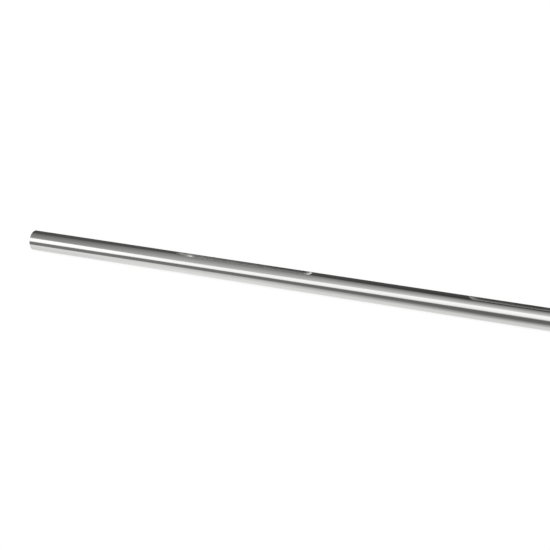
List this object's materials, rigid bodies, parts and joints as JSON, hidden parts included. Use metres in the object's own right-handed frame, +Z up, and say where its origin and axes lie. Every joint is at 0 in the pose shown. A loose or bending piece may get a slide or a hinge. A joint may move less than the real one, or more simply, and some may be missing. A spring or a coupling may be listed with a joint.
{
  "type": "keyed fan shaft",
  "caption": "Straight round ground steel bar with chamfered ends and long keyways cut in line along one side, for carrying fan wheels, pulleys and bearings.",
  "frame": {"origin": "middle of the bar's lowest line, on the floor it lies on", "axes": "+X along the bar, +Z up, the way the keyways face"},
  "size_m": [0.9144, 0.0254, 0.0254],
  "materials": {
    "ground_steel": "ground and polished"
  },
  "bodies": {
    "root": {"fan_shaft": "ground_steel"}
  },
  "joints": []
}
